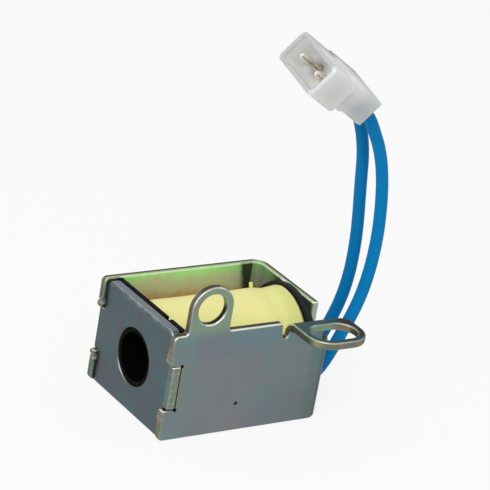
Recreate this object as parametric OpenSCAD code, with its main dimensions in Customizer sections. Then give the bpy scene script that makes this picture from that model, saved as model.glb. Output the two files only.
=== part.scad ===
// Choke solenoid: an open-frame pull coil with two mounting lugs, a sliding
// plunger and a pair of leads that end in a two-way pin connector.
// The bent frame stands on its lower edges. X runs along the bore, from the
// end plate to the back wall, and Y from the front wall to the rear wall.

/* [Frame] */
// Outside length, from the wall ends to the back wall
frame_length = 43.2; // [41:0.1:50]
// Outside width across the two long walls
frame_width = 31.8; // [31:0.1:38]
// Height of the strip that the frame is bent from
frame_height = 25.4; // [25:0.1:32]
// Thickness of the strip
sheet_t = 1.8; // [1.5:0.05:2]
// Inside radius of the two upright bends
bend_r = 1.8; // [1:0.1:3]
// Rounding of the wall ends' corners
wall_corner_r = 1.2; // [0.5:0.1:2]

/* [End plate] */
// Thickness of the end plate
plate_t = 2.2; // [1.6:0.1:3]
// How far the walls stand past the plate
plate_recess = 0.8; // [0.4:0.1:1.5]
// Hole that the bobbin's tube shows in
plate_hole_d = 13.2; // [12.8:0.1:15]
// Rounding of the plate's upper corners
plate_corner_r = 2; // [0.5:0.1:3]
// Height of the tabs that pass through the walls
tab_height = 10.4; // [8:0.1:12]
// Diameter of the relief holes in the tab notches
relief_d = 0.9; // [0.5:0.1:1.4]
// Distance of each stake from its tab
stake_offset = 1.7; // [1.4:0.1:2.5]
// Depth of the chisel groove of a stake
stake_depth = 0.45; // [0.2:0.05:0.7]
// How far a stake pushes metal over the plate
stake_lip = 0.6; // [0.3:0.1:1]

/* [Lugs] */
// Bolt hole of the upright lug, and width of the flat lug's slot
lug_hole_d = 7.2; // [6:0.1:8]
// Width of metal around the bolt holes
lug_rim = 1.75; // [1.5:0.05:3]
// Upright lug's hole from the wall ends
upright_lug_x = 8.65; // [8.4:0.05:12]
// Upright lug's hole above the top of the wall
upright_lug_rise = 5.55; // [5:0.05:9]
// Fillet where the upright lug meets the wall
lug_fillet_r = 0.7; // [0.3:0.1:1.5]
// Middle of the flat lug's slot, back from the frame's back face
flat_lug_back = 5.65; // [4:0.05:8]
// Middle of the flat lug's slot, out from the front wall
flat_lug_reach = 6.3; // [5.8:0.05:9]
// Length of the flat lug's slot
slot_length = 11.4; // [8:0.1:13]
// Inside radius of the flat lug's bend
lug_bend_r = 1.3; // [0.8:0.1:2]
// Width of the relief beside the flat lug
lug_relief = 2.2; // [1.6:0.1:3]
// Top of the strip where it is cut away at the front corner
corner_cut_z = 19.5; // [16:0.1:21]
// Where the back wall steps up beside the front corner
corner_cut_y = 7.7; // [5:0.1:10]

/* [Coil] */
// Bore of the bobbin, which guides the plunger
bore_d = 11.2; // [10:0.1:11.6]
// How far the bobbin's tube ends behind the plate's face
tube_recess = 0.4; // [0.1:0.1:1]
// Thickness of the bobbin's two flanges
flange_t = 1.3; // [1:0.1:2]
// Diameter of the round rear flange
flange_d = 26.2; // [25.6:0.1:27]
// Width of the wire slot in the front flange
wire_slot = 1.4; // [0.8:0.1:2]
// Diameter of the winding
winding_d = 23.2; // [20:0.1:23.6]
// Thickness of the tape around the winding
tape_t = 0.35; // [0.2:0.05:0.5]
// Bare winding left between the tape and the rear flange
tape_margin = 0.6; // [0.2:0.1:1]
// Width of the second wrap, over the splices
splice_wrap = 4; // [3:0.1:6]
// Height of the bulge in the second wrap
splice_bulge = 0.95; // [0.85:0.05:1]

/* [Plunger] */
// Length of the plunger's round body
plunger_length = 20; // [16:0.5:21]
// Length of the fixed pole piece
pole_length = 12; // [8:0.5:14]
// Length of the plunger's cone and of its seat
cone_length = 3; // [1.5:0.1:4]
// Hole in the plunger for the choke rod
rod_hole_d = 4; // [3:0.1:5]
// Depth of the choke rod's hole
rod_hole_depth = 8; // [5:0.5:12]
// Pole piece's spigot through the back wall
spigot_d = 6; // [5:0.1:7]

/* [Leads] */
// Diameter over the lead's insulation
lead_d = 2.9; // [2.4:0.1:3]
// Diameter of the stranded conductor
conductor_d = 1.2; // [0.8:0.05:1.3]

/* [Connector] */
// Long side of the connector's mouth
mouth_long = 14.2; // [13.4:0.1:16]
// Short side of the connector's mouth
mouth_short = 8.4; // [7.6:0.1:10]
// Wall of the connector's shroud
shroud_wall = 1.1; // [0.8:0.05:1.4]
// Depth of the shroud
shroud_length = 9.4; // [8:0.1:12]
// Whole length of the connector
connector_length = 22; // [20:0.1:26]
// Distance between the two pins
pin_pitch = 6.2; // [5:0.1:6.4]
// Diameter of the pins
pin_d = 2.1; // [1.6:0.1:2.3]

/* [Hidden] */
$fn = 64;
// Small gaps: sliding fit, parts laid together, and cutting overshoot
plunger_gap = 0.08;
seat_gap = 0.1;
pole_gap = 0.3;
over = 1;

// Frame
bend_out = bend_r + sheet_t;
inner_back = frame_length - sheet_t;
mid_y = frame_width / 2;
mid_z = frame_height / 2;
plate_in = plate_recess + plate_t;
lug_r = lug_hole_d / 2 + lug_rim;
slot_half = (slot_length - lug_hole_d) / 2;
flat_lug_x = frame_length - flat_lug_back;
flat_lug_left = flat_lug_x - slot_half - lug_r;
flat_lug_right = flat_lug_x + slot_half + lug_r;
lug_bend_out = lug_bend_r + sheet_t;
lug_bend_z = frame_height - lug_bend_out;
// Rear edge of the flat lug where it overhangs the corner
lug_edge_y = -0.4;
lug_edge_r = 2.6;
lug_relief_r = 0.7;
stake_half = 1.1;
tab_low = mid_z - tab_height / 2;
tab_high = mid_z + tab_height / 2;
// Punch mark on the front wall
punch_x = 19;
punch_z = 6.9;
punch_d = 0.9;
punch_depth = 0.5;

// Coil
tube_d = plate_hole_d - 2 * seat_gap;
flange_front = plate_in + flange_t;
flange_back = inner_back - flange_t;
winding_gap = 0.05;
tape_r = winding_d / 2 + winding_gap + tape_t;
wrap_r = tape_r + winding_gap + tape_t;
tape_back = flange_back - tape_margin;
bulge_r = tape_r + splice_bulge;
bulge_round = 4.5;
bulge_turn = 113;
sleeve_d = 0.5;
sleeve_length = 2.8;
sleeve_turn = 3;
sleeve_pocket_d = sleeve_d + 2 * winding_gap;
sleeve_r = tape_r + winding_gap + seat_gap + sleeve_pocket_d / 2;
wire_slot_y = 8.8;
wire_slot_depth = 4;
// Loose end of the tape
tail_x = 34;
tail_turn = 62;
tail_height = 1.6;
tail_width = 1;
tail_t = 0.4;

// Plunger and pole piece
plunger_d = bore_d - 2 * plunger_gap;
pole_d = bore_d - 2 * seat_gap;
pole_front = inner_back - pole_length;
plunger_back = pole_front - pole_gap;
plunger_front = plunger_back - plunger_length;
cone_tip_d = plunger_d - 2 * cone_length;
edge_chamfer = 0.5;
spigot_rim = 0.7;
spigot_head_d = spigot_d + 2 * spigot_rim;
spigot_head_h = 0.6;

// Leads: a boss on the rear flange holds them in a notch of the back wall
lead_pitch = 5.6;
lead_z = 2;
lead_gap = 0.15;
boss_rim = 1;
boss_w = lead_pitch + lead_d + 2 * boss_rim;
boss_h = 3.7;
boss_low = 0.15;
boss_proud = 0.6;
boss_floor = 0.2;
boss_hole_depth = boss_proud + sheet_t - boss_floor;
boss_face = frame_length + boss_proud;
notch_gap = 0.2;
notch_r = 0.8;

// Connector, in its own frame: x along the mouth's long side, z out of it
connector_at = [30.5, 11.7, 82];
connector_turn = [56, 17, -89];
shroud_r = 1.3;
cavity_r = 0.6;
shroud_floor = 1.2;
cavity_depth = shroud_length - shroud_floor;
rear_inset = 0.8;
rear_drop = 1.6;
rear_rise = 0.4;
rear_long = mouth_long - 2 * rear_inset;
rear_low = -mouth_short / 2 + rear_drop;
rear_high = mouth_short / 2 + rear_rise;
rear_r = 1.2;
rear_corner_r = 1.4;
pin_recess = 0.9;
barrel_d = 2.7;
barrel_seat = 0.4;
barrel_front = -shroud_length + barrel_seat;
lead_entry = 4;
lead_end_z = -connector_length + lead_entry;
seam_w = 0.25;
conductor_length = 4;
foot_h = 0.5;
foot_length = 3.4;
lock_w = 5;
lock_h = 0.7;
lock_length = 6;

// The origin lies under the middle of the frame and its lugs
shift = [-flat_lug_right / 2, (flat_lug_reach + lug_r - frame_width) / 2, 0];

// Routes of the two leads between the boss and the connector
right_route = [
    [46, 13, 2], [48.5, 13, 2.8], [50.6, 13, 4.4], [52.5, 13, 7], [54.3, 13, 10.5], [56.1, 13, 14.5],
    [57.8, 13, 18.5], [59.2, 13, 23], [60.1, 13, 28], [60.5, 13, 33], [60.5, 13, 38], [60.1, 13, 43],
    [59.4, 13, 48], [58.2, 13, 53.5], [56.5, 13, 58.5], [54.2, 13, 63]
];
left_route = [
    [46, 18.7, 2], [48.8, 18.7, 2.8], [51.2, 18.7, 4.8], [53.3, 18.7, 7.8], [55.1, 18.7, 11.5],
    [56.9, 18.7, 15.5], [58.3, 18.7, 20], [59.1, 18.7, 25], [59.3, 18.7, 30], [59.1, 18.7, 35],
    [58.6, 18.7, 40], [57.9, 18.7, 45], [57.2, 18.7, 50], [56.5, 18.7, 55], [55.4, 18.7, 59.5],
    [53.7, 18.7, 64]
];

// Helpers

module place() {
    translate(shift) children();
}

// Turns a flat outline to stand in the XZ plane, from y to y + t
module sheet_xz(y, t) {
    translate([0, y + t, 0]) rotate([90, 0, 0]) linear_extrude(t) children();
}

// Turns a flat outline to stand in the YZ plane, from x to x + t
module sheet_yz(x, t) {
    translate([x, 0, 0]) rotate([90, 0, 90]) linear_extrude(t) children();
}

// A revolved profile whose axis is the bore's, from [radius, x] points
module on_bore(profile) {
    translate([0, mid_y, mid_z]) rotate([0, 90, 0]) rotate_extrude() polygon(profile);
}

// A tube along the bore
module bore_tube(x0, x1, r_in, r_out) {
    on_bore([[r_in, x0], [r_out, x0], [r_out, x1], [r_in, x1]]);
}

// Waste outside a rounded corner at the origin, opening to +x and +y
module corner_waste(r) {
    difference() {
        translate([-over, -over]) square(r + over);
        translate([r, r]) circle(r);
    }
}

// A concave fillet beside an upright edge at x = 0, on a base at y = 0
module fillet(r) {
    difference() {
        translate([-r, 0]) square(r);
        translate([-r, r]) circle(r);
    }
}

// A rectangle with round corners, from its low to its high corner
module round_rect(low, high, r) {
    translate([low[0] + r, low[1]]) square([high[0] - low[0] - 2 * r, high[1] - low[1]]);
    translate([low[0], low[1] + r]) square([high[0] - low[0], high[1] - low[1] - 2 * r]);
    for (x = [low[0] + r, high[0] - r], y = [low[1] + r, high[1] - r])
        translate([x, y]) circle(r);
}

// Frame

// Notch for a tab of the end plate, with its relief holes
module tab_notch() {
    translate([-over, tab_low - seat_gap]) square([plate_in + over, tab_height + 2 * seat_gap]);
    for (z = [tab_low - seat_gap, tab_high + seat_gap])
        translate([plate_in, z]) circle(d = relief_d);
}

module wall_end_cuts() {
    tab_notch();
    corner_waste(wall_corner_r);
    translate([0, frame_height]) mirror([0, 1]) corner_waste(wall_corner_r);
}

module upright_lug_outline() {
    translate([upright_lug_x, frame_height + upright_lug_rise]) circle(lug_r);
    translate([upright_lug_x - lug_r, 0]) square([2 * lug_r, frame_height + upright_lug_rise]);
    for (side = [0, 1])
        translate([upright_lug_x, frame_height]) mirror([side, 0])
            translate([-lug_r, 0]) fillet(lug_fillet_r);
}

// Relief beside the flat lug, a slanted cut that ends in a round
module lug_relief_outline() {
    polygon([
        [flat_lug_left - lug_relief, frame_height + over],
        [flat_lug_left - 2 * lug_relief_r, lug_bend_z],
        [flat_lug_left, lug_bend_z],
        [flat_lug_left, frame_height + over]
    ]);
    translate([flat_lug_left - lug_relief_r, lug_bend_z]) circle(lug_relief_r);
}

module front_wall_outline() {
    difference() {
        union() {
            square([flat_lug_left, frame_height]);
            square([frame_length - bend_out, lug_bend_z]);
            upright_lug_outline();
        }
        wall_end_cuts();
        lug_relief_outline();
        translate([upright_lug_x, frame_height + upright_lug_rise]) circle(d = lug_hole_d);
    }
}

module rear_wall_outline() {
    difference() {
        square([frame_length - bend_out, frame_height]);
        wall_end_cuts();
    }
}

// Notch in the back wall's lower edge for the leads' boss
module lead_notch_outline() {
    half = boss_w / 2 + notch_gap;
    round_rect([mid_y - half, -over], [mid_y + half, boss_low + boss_h + notch_gap], notch_r);
}

module back_wall_outline() {
    difference() {
        translate([bend_out, 0]) square([frame_width - 2 * bend_out, frame_height]);
        translate([0, corner_cut_z]) square([corner_cut_y, frame_height]);
        translate([mid_y, mid_z]) circle(d = spigot_d + 2 * seat_gap);
        lead_notch_outline();
    }
}

// One upright bend between the back wall and a long wall
module upright_bend(height) {
    translate([frame_length - bend_out, bend_out, 0]) rotate([0, 0, -90])
        rotate_extrude(angle = 90) translate([bend_r, 0]) square([sheet_t, height]);
}

module flat_lug_outline() {
    difference() {
        union() {
            for (side = [-1, 1])
                translate([flat_lug_x + side * slot_half, -flat_lug_reach]) circle(lug_r);
            translate([flat_lug_x - slot_half, -flat_lug_reach - lug_r]) square([2 * slot_half, 2 * lug_r]);
            translate([flat_lug_left, -flat_lug_reach])
                square([frame_length - bend_out - flat_lug_left, flat_lug_reach - lug_bend_r]);
            translate([flat_lug_x, -flat_lug_reach])
                square([flat_lug_right - lug_edge_r - flat_lug_x, flat_lug_reach + lug_edge_y]);
            translate([flat_lug_x, -flat_lug_reach])
                square([flat_lug_right - flat_lug_x, flat_lug_reach + lug_edge_y - lug_edge_r]);
            translate([flat_lug_right - lug_edge_r, lug_edge_y - lug_edge_r]) circle(lug_edge_r);
        }
        for (side = [-1, 1])
            translate([flat_lug_x + side * slot_half, -flat_lug_reach]) circle(d = lug_hole_d);
        translate([flat_lug_x - slot_half, -flat_lug_reach - lug_hole_d / 2])
            square([2 * slot_half, lug_hole_d]);
        translate([flat_lug_left - over, -lug_bend_r])
            square([frame_length - bend_out - flat_lug_left + over, lug_bend_r + over]);
    }
}

module flat_lug_bend() {
    sheet_yz(flat_lug_left, frame_length - bend_out - flat_lug_left)
        translate([-lug_bend_r, lug_bend_z]) intersection() {
            difference() {
                circle(lug_bend_out);
                circle(lug_bend_r);
            }
            square(lug_bend_out + over);
        }
}

// Chisel grooves across a wall end, at the front wall's place
module stake_grooves() {
    side = stake_depth * sqrt(2);
    for (z = [tab_low - stake_offset, tab_high + stake_offset])
        translate([0, -over, z]) rotate([0, 45, 0]) translate([-side / 2, 0, -side / 2])
            cube([side, sheet_t + 2 * over, side]);
}

// Metal that the stakes push over the end plate
module stake_lips() {
    for (z = [tab_low - stake_offset, tab_high + stake_offset])
        sheet_yz(0, plate_recess)
            polygon([[sheet_t, z - stake_half], [sheet_t + stake_lip, z], [sheet_t, z + stake_half]]);
}

module mirrored_width() {
    children();
    translate([0, frame_width, 0]) mirror([0, 1, 0]) children();
}

module coil_frame() {
    color("lightslategray") place() difference() {
        union() {
            sheet_xz(0, sheet_t) front_wall_outline();
            sheet_xz(frame_width - sheet_t, sheet_t) rear_wall_outline();
            sheet_yz(inner_back, sheet_t) back_wall_outline();
            upright_bend(corner_cut_z);
            translate([0, frame_width, 0]) mirror([0, 1, 0]) upright_bend(frame_height);
            flat_lug_bend();
            translate([0, 0, frame_height - sheet_t]) linear_extrude(sheet_t) flat_lug_outline();
            mirrored_width() stake_lips();
        }
        mirrored_width() stake_grooves();
        translate([punch_x, punch_depth, punch_z]) rotate([90, 0, 0]) cylinder(d = punch_d, h = over);
    }
}

// End plate

module end_plate_outline() {
    inner = sheet_t + seat_gap;
    difference() {
        union() {
            round_rect([inner, 0], [frame_width - inner, frame_height], plate_corner_r);
            translate([inner, 0]) square([frame_width - 2 * inner, frame_height / 2]);
            translate([0, tab_low]) square([frame_width, tab_height]);
        }
        translate([mid_y, mid_z]) circle(d = plate_hole_d);
    }
}

module end_plate() {
    color("slategray") place() sheet_yz(plate_recess, plate_t) end_plate_outline();
}

// Coil

module front_flange_outline() {
    inner = sheet_t + 2 * seat_gap;
    difference() {
        translate([inner, seat_gap]) square([frame_width - 2 * inner, frame_height - seat_gap]);
        translate([wire_slot_y - wire_slot / 2, frame_height - wire_slot_depth])
            square([wire_slot, wire_slot_depth + over]);
    }
}

module rear_flange_outline() {
    intersection() {
        translate([mid_y, mid_z]) circle(d = flange_d);
        translate([bend_out + seat_gap, boss_low])
            square([frame_width - 2 * (bend_out + seat_gap), 2 * frame_height]);
    }
}

module lead_boss() {
    difference() {
        sheet_yz(flange_back, boss_face - flange_back)
            round_rect([mid_y - boss_w / 2, boss_low], [mid_y + boss_w / 2, boss_low + boss_h], notch_r);
        for (side = [-1, 1])
            translate([boss_face - boss_hole_depth, mid_y + side * lead_pitch / 2, lead_z])
                rotate([0, 90, 0]) cylinder(d = lead_d + 2 * lead_gap, h = boss_hole_depth + over);
    }
}

module bobbin() {
    color([0.12, 0.12, 0.13]) place() difference() {
        union() {
            bore_tube(plate_recess + tube_recess, inner_back, bore_d / 2, tube_d / 2);
            sheet_yz(plate_in, flange_t) front_flange_outline();
            sheet_yz(flange_back, flange_t) rear_flange_outline();
            lead_boss();
        }
        bore_tube(0, inner_back + over, 0, bore_d / 2);
    }
}

module winding() {
    color([0.72, 0.38, 0.2]) place()
        bore_tube(flange_front + seat_gap, flange_back - seat_gap, tube_d / 2 + winding_gap, winding_d / 2);
}

// Turns about the bore, from the horizontal rear direction towards the top
module around_bore(turn) {
    translate([0, mid_y, mid_z]) rotate([turn, 0, 0]) children();
}

module coil_tape() {
    color([0.93, 0.9, 0.55]) place() {
        bore_tube(flange_front + seat_gap, tape_back, winding_d / 2 + winding_gap, tape_r);
        around_bore(tail_turn) translate([tail_x - tail_width / 2, tape_r - tape_t / 2, -tail_t / 2])
            cube([tail_width, tail_height, tail_t]);
    }
}

module at_splices() {
    for (side = [-1, 1])
        around_bore(bulge_turn + side * sleeve_turn)
            translate([tape_back - splice_wrap / 2, sleeve_r, 0])
                rotate([0, 90, 0]) children();
}

// Second wrap in section: a ring with a bulge over the splices
module splice_tape_outline() {
    difference() {
        translate([mid_y, mid_z]) {
            circle(wrap_r);
            rotate(bulge_turn) translate([bulge_r - bulge_round, 0]) circle(bulge_round);
        }
        translate([mid_y, mid_z]) circle(tape_r + winding_gap);
    }
}

module splice_tape() {
    color([0.95, 0.91, 0.58]) place() difference() {
        sheet_yz(tape_back - splice_wrap, splice_wrap) splice_tape_outline();
        at_splices() cylinder(d = sleeve_pocket_d, h = sleeve_length + 2 * winding_gap, center = true);
    }
}

module splice_sleeves() {
    color("ivory") place() at_splices() cylinder(d = sleeve_d, h = sleeve_length, center = true);
}

// Plunger and pole piece

module pole_piece() {
    seat_d = cone_tip_d + 2 * pole_gap;
    color("silver") place() on_bore([
        [0, pole_front + cone_length], [seat_d / 2, pole_front + cone_length],
        [seat_d / 2 + cone_length - edge_chamfer, pole_front + edge_chamfer],
        [pole_d / 2, pole_front + edge_chamfer], [pole_d / 2, inner_back],
        [spigot_d / 2, inner_back], [spigot_d / 2, frame_length], [spigot_head_d / 2, frame_length],
        [spigot_head_d / 2 - edge_chamfer, frame_length + spigot_head_h],
        [0, frame_length + spigot_head_h]
    ]);
}

module plunger() {
    color("gainsboro") place() on_bore([
        [0, plunger_front + rod_hole_depth], [rod_hole_d / 2, plunger_front + rod_hole_depth],
        [rod_hole_d / 2, plunger_front], [plunger_d / 2 - edge_chamfer, plunger_front],
        [plunger_d / 2, plunger_front + edge_chamfer], [plunger_d / 2, plunger_back],
        [cone_tip_d / 2, plunger_back + cone_length], [0, plunger_back + cone_length]
    ]);
}

// Leads

function turn_x(p, a) = [p.x, p.y * cos(a) - p.z * sin(a), p.y * sin(a) + p.z * cos(a)];
function turn_y(p, a) = [p.x * cos(a) + p.z * sin(a), p.y, p.z * cos(a) - p.x * sin(a)];
function turn_z(p, a) = [p.x * cos(a) - p.y * sin(a), p.x * sin(a) + p.y * cos(a), p.z];

// A point of the connector's own frame, in the part's frame
function on_connector(p) =
    connector_at + turn_z(turn_y(turn_x(p, connector_turn.x), connector_turn.y), connector_turn.z);

// Direction of a route at a point, from its neighbours
function heading(route, i) =
    let (d = route[min(i + 1, len(route) - 1)] - route[max(i - 1, 0)]) d / norm(d);

// One ring of a lead's skin, square to the route
function ring(route, i, sides) =
    let (t = heading(route, i), s = cross(t, [0, 1, 0]), a = s / norm(s), b = cross(t, a))
    let (step = 360 / sides)
    [for (k = [0 : sides - 1]) route[i] + lead_d / 2 * (a * cos(k * step) + b * sin(k * step))];

module lead(route) {
    sides = 8;
    n = len(route);
    points = [for (i = [0 : n - 1]) each ring(route, i, sides)];
    skin = [
        for (i = [0 : n - 2], k = [0 : sides - 1])
            let (k2 = (k + 1) % sides, j = i * sides)
            each [[j + k, j + k2, j + sides + k2], [j + k, j + sides + k2, j + sides + k]]
    ];
    ends = [
        [for (k = [sides - 1 : -1 : 0]) k],
        [for (k = [0 : sides - 1]) (n - 1) * sides + k]
    ];
    polyhedron(points, concat(skin, ends));
}

// A whole route: out of the boss, along its own points and into the connector
function whole_route(side, points) = concat(
    [[boss_face - boss_hole_depth, mid_y + side * lead_pitch / 2, lead_z]],
    [[boss_face + lead_gap, mid_y + side * lead_pitch / 2, lead_z]],
    points,
    [for (z = [-connector_length - lead_d, -connector_length - lead_gap, lead_end_z])
        on_connector([-side * pin_pitch / 2, 0, z])]
);

module lead_left() {
    color("royalblue") place() lead(whole_route(1, left_route));
}

module lead_right() {
    color("royalblue") place() lead(whole_route(-1, right_route));
}

// Connector

module on_lead_end() {
    place() translate(connector_at) rotate(connector_turn) children();
}

module connector_housing() {
    half_long = mouth_long / 2;
    half_short = mouth_short / 2;
    color([0.92, 0.93, 0.93]) on_lead_end() difference() {
        union() {
            translate([0, 0, -shroud_length]) linear_extrude(shroud_length)
                round_rect([-half_long, -half_short], [half_long, half_short], shroud_r);
            translate([0, 0, -connector_length]) linear_extrude(connector_length - shroud_length)
                round_rect([-rear_long / 2, rear_low], [rear_long / 2, rear_high], rear_r);
            translate([0, 0, -shroud_length - foot_length]) linear_extrude(foot_length)
                round_rect([-rear_long / 2, rear_low - foot_h], [rear_long / 2, rear_high], rear_r);
            translate([-lock_w / 2, half_short, -shroud_length]) rotate([90, 0, 90]) linear_extrude(lock_w)
                polygon([[-lock_h, 0], [lock_h, 0], [-lock_h, lock_length]]);
        }
        translate([0, 0, -cavity_depth]) linear_extrude(cavity_depth + over)
            round_rect([shroud_wall - half_long, shroud_wall - half_short],
                [half_long - shroud_wall, half_short - shroud_wall], cavity_r);
        for (side = [-1, 1]) translate([side * pin_pitch / 2, 0, 0]) {
            translate([0, 0, -connector_length - over])
                cylinder(d = lead_d + 2 * lead_gap, h = lead_entry + over);
            translate([0, 0, lead_end_z])
                cylinder(d = barrel_d + 2 * seat_gap, h = barrel_front - lead_end_z);
            translate([0, 0, barrel_front - over])
                cylinder(d = pin_d + 2 * seat_gap, h = shroud_length);
        }
        for (side = [0, 1]) mirror([side, 0, 0])
            translate([-rear_long / 2, rear_high + over, -connector_length]) rotate([90, 0, 0])
                linear_extrude(2 * mouth_short) corner_waste(rear_corner_r);
        for (edge = [[rear_low, 0], [rear_high, 1]])
            translate([-mouth_long, edge[0], -connector_length]) mirror([0, edge[1], 0])
                rotate([90, 0, 90]) linear_extrude(2 * mouth_long) corner_waste(rear_corner_r);
    }
}

// A rolled pin with its crimp barrel
module pin_terminal(side) {
    nose = pin_d / 4;
    color([0.75, 0.7, 0.62]) on_lead_end() translate([side * pin_pitch / 2, 0, 0]) difference() {
        rotate_extrude() polygon([
            [0, -pin_recess], [pin_d / 2 - nose, -pin_recess], [pin_d / 2, -pin_recess - 2 * nose],
            [pin_d / 2, barrel_front - seat_gap], [barrel_d / 2, barrel_front - seat_gap],
            [barrel_d / 2, lead_end_z], [conductor_d / 2 + winding_gap, lead_end_z],
            [conductor_d / 2 + winding_gap, lead_end_z + conductor_length],
            [0, lead_end_z + conductor_length]
        ]);
        translate([0, -seam_w / 2, barrel_front]) cube([pin_d, seam_w, shroud_length]);
    }
}

module pin_terminal_left() {
    pin_terminal(-1);
}

module pin_terminal_right() {
    pin_terminal(1);
}

// Bared end of a lead's strands, held in the crimp
module conductor(side) {
    color([0.8, 0.5, 0.3]) on_lead_end() translate([side * pin_pitch / 2, 0, lead_end_z])
        cylinder(d = conductor_d, h = conductor_length - winding_gap);
}

module conductor_left() {
    conductor(-1);
}

module conductor_right() {
    conductor(1);
}

coil_frame();
end_plate();
bobbin();
winding();
coil_tape();
splice_tape();
splice_sleeves();
pole_piece();
plunger();
lead_left();
lead_right();
connector_housing();
pin_terminal_left();
pin_terminal_right();
conductor_left();
conductor_right();
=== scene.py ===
"""Looks of a choke solenoid: plated frame, taped coil, plunger, blue leads and pin connector."""

import math

import bmesh
import bpy
from bpy.props import FloatProperty, FloatVectorProperty, IntProperty, PointerProperty
from mathutils import Euler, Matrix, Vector


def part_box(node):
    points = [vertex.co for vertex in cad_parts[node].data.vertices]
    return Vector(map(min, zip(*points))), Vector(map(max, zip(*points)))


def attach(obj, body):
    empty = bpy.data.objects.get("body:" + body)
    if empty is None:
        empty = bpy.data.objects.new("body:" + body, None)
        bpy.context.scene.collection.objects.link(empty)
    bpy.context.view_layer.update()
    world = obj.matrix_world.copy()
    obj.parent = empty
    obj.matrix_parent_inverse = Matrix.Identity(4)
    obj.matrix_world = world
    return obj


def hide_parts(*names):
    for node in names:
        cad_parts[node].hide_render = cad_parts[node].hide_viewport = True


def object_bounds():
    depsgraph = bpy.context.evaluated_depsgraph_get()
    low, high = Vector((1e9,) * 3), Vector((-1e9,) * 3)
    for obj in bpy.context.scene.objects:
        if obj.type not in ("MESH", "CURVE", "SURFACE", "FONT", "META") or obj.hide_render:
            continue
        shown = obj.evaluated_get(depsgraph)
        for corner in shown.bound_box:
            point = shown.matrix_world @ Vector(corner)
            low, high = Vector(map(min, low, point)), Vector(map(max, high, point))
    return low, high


bl_info = {
    "name": "Choke solenoid",
    "version": (1, 0, 0),
    "blender": (4, 5, 0),
    "location": "View3D > Sidebar > Solenoid",
    "description": "Builds the looks of an open-frame choke solenoid on its CAD frame",
    "category": "Object",
}

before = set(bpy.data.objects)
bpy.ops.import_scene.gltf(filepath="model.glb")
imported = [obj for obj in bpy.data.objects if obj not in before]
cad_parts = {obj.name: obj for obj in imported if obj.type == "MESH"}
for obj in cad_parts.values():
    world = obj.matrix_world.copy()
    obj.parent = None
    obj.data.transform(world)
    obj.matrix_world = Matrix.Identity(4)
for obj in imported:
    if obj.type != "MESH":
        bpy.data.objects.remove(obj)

CAD_BOX = [list(corner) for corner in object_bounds()]

# Corners of the part that the pieces are set out from, in metres
WALL_END_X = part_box("coil_frame")[0].x
FRONT_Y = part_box("end_plate")[0].y
REAR_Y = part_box("end_plate")[1].y
TOP_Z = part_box("end_plate")[1].z
WIDTH = REAR_Y - FRONT_Y
COIL_LOW, COIL_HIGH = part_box("winding")
TAPE_LOW_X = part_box("coil_tape")[0].x
TAPE_END_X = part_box("coil_tape")[1].x
BORE = (COIL_LOW + COIL_HIGH) / 2
WINDING_R = (COIL_HIGH.z - COIL_LOW.z) / 2
SETOUT = Vector((WALL_END_X, FRONT_Y, 0.0))

# Routes of the leads from the frame's front corner: how far back, then along and up, in metres
RIGHT_BACK = 0.013
RIGHT_ROUTE = (
    (0.046, 0.002), (0.0485, 0.0028), (0.0506, 0.0044), (0.0525, 0.007),
    (0.0543, 0.0105), (0.0561, 0.0145), (0.0578, 0.0185), (0.0592, 0.023),
    (0.0601, 0.028), (0.0605, 0.033), (0.0605, 0.038), (0.0601, 0.043),
    (0.0594, 0.048), (0.0582, 0.0535), (0.0565, 0.0585), (0.0542, 0.063),
)
LEFT_BACK = 0.0187
LEFT_ROUTE = (
    (0.046, 0.002), (0.0488, 0.0028), (0.0512, 0.0048), (0.0533, 0.0078),
    (0.0551, 0.0115), (0.0569, 0.0155), (0.0583, 0.02), (0.0591, 0.025),
    (0.0593, 0.03), (0.0591, 0.035), (0.0586, 0.04), (0.0579, 0.045),
    (0.0572, 0.05), (0.0565, 0.055), (0.0554, 0.0595), (0.0537, 0.064),
)

# Spots whose small edges stay sharp, in metres: holes and marks as along, up and reach
RELIEF_HOLES = ((0.003, 0.0074, 0.00075), (0.003, 0.018, 0.00075))
PUNCH_MARK = (0.019, 0.0069, 0.00075)
PUNCH_DEPTH = 0.001
STAKE_HEIGHTS = (0.0058, 0.0196)
STAKE_DEPTH = 0.0009
STAKE_REACH = 0.00135
LUG_ROOT = ((0.0392, -0.0016, 0.0189), (0.0404, 0.0022, 0.0256))
BOSS_ALONG = (0.0399, 0.046)
BOSS_TOP = 0.0042

# Depths and reaches in the connector's own directions, in metres
RIM_DEPTH = -0.001
TOWER_REACH = 0.00175
SHROUD_END = -0.009
LATCH_SIDE = 0.003
LATCH_END = -0.008

# Openings of the frame that its plating follows, from the front corner, in metres
NOTCH_LOW = 0.0073
LUG_HOLE_X, LUG_HOLE_Z, LUG_HOLE_R = 0.00865, 0.03095, 0.00365
SLOT_X, SLOT_Y, SLOT_HALF_X, SLOT_HALF_Y = 0.03755, -0.0063, 0.0057, 0.0036

# Broad sheens of the walls: colour, strength, then where each comes in and goes out, along and up
WALL_SHEENS = (
    ("plating_teal", 0.5, (0.031, 0.041), None, (0.008, 0.016), None),
    ("plating_light", 0.55, None, (0.004, 0.017), None, None),
    ("plating_warm", 0.6, (0.0055, 0.0085), (0.018, 0.027), None, (TOP_Z - 0.008, TOP_Z - 0.003)),
    ("tab", 0.6, None, (0.0034, 0.0054), (0.006, 0.0076), (0.0176, 0.019)),
    ("plating_blue", 0.75, (0.011, 0.016), None, (TOP_Z - 0.0085, TOP_Z - 0.001), None),
)

# Middle of the violet patch below the upright lug, along and up, in metres
LUG_FOOT = (0.0105, TOP_Z - 0.0035)

# Share of metal in the plating, and its tint at grazing angles
PLATED = 0.82
GRAZING_TINT = (0.45, 0.47, 0.45, 1.0)

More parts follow.
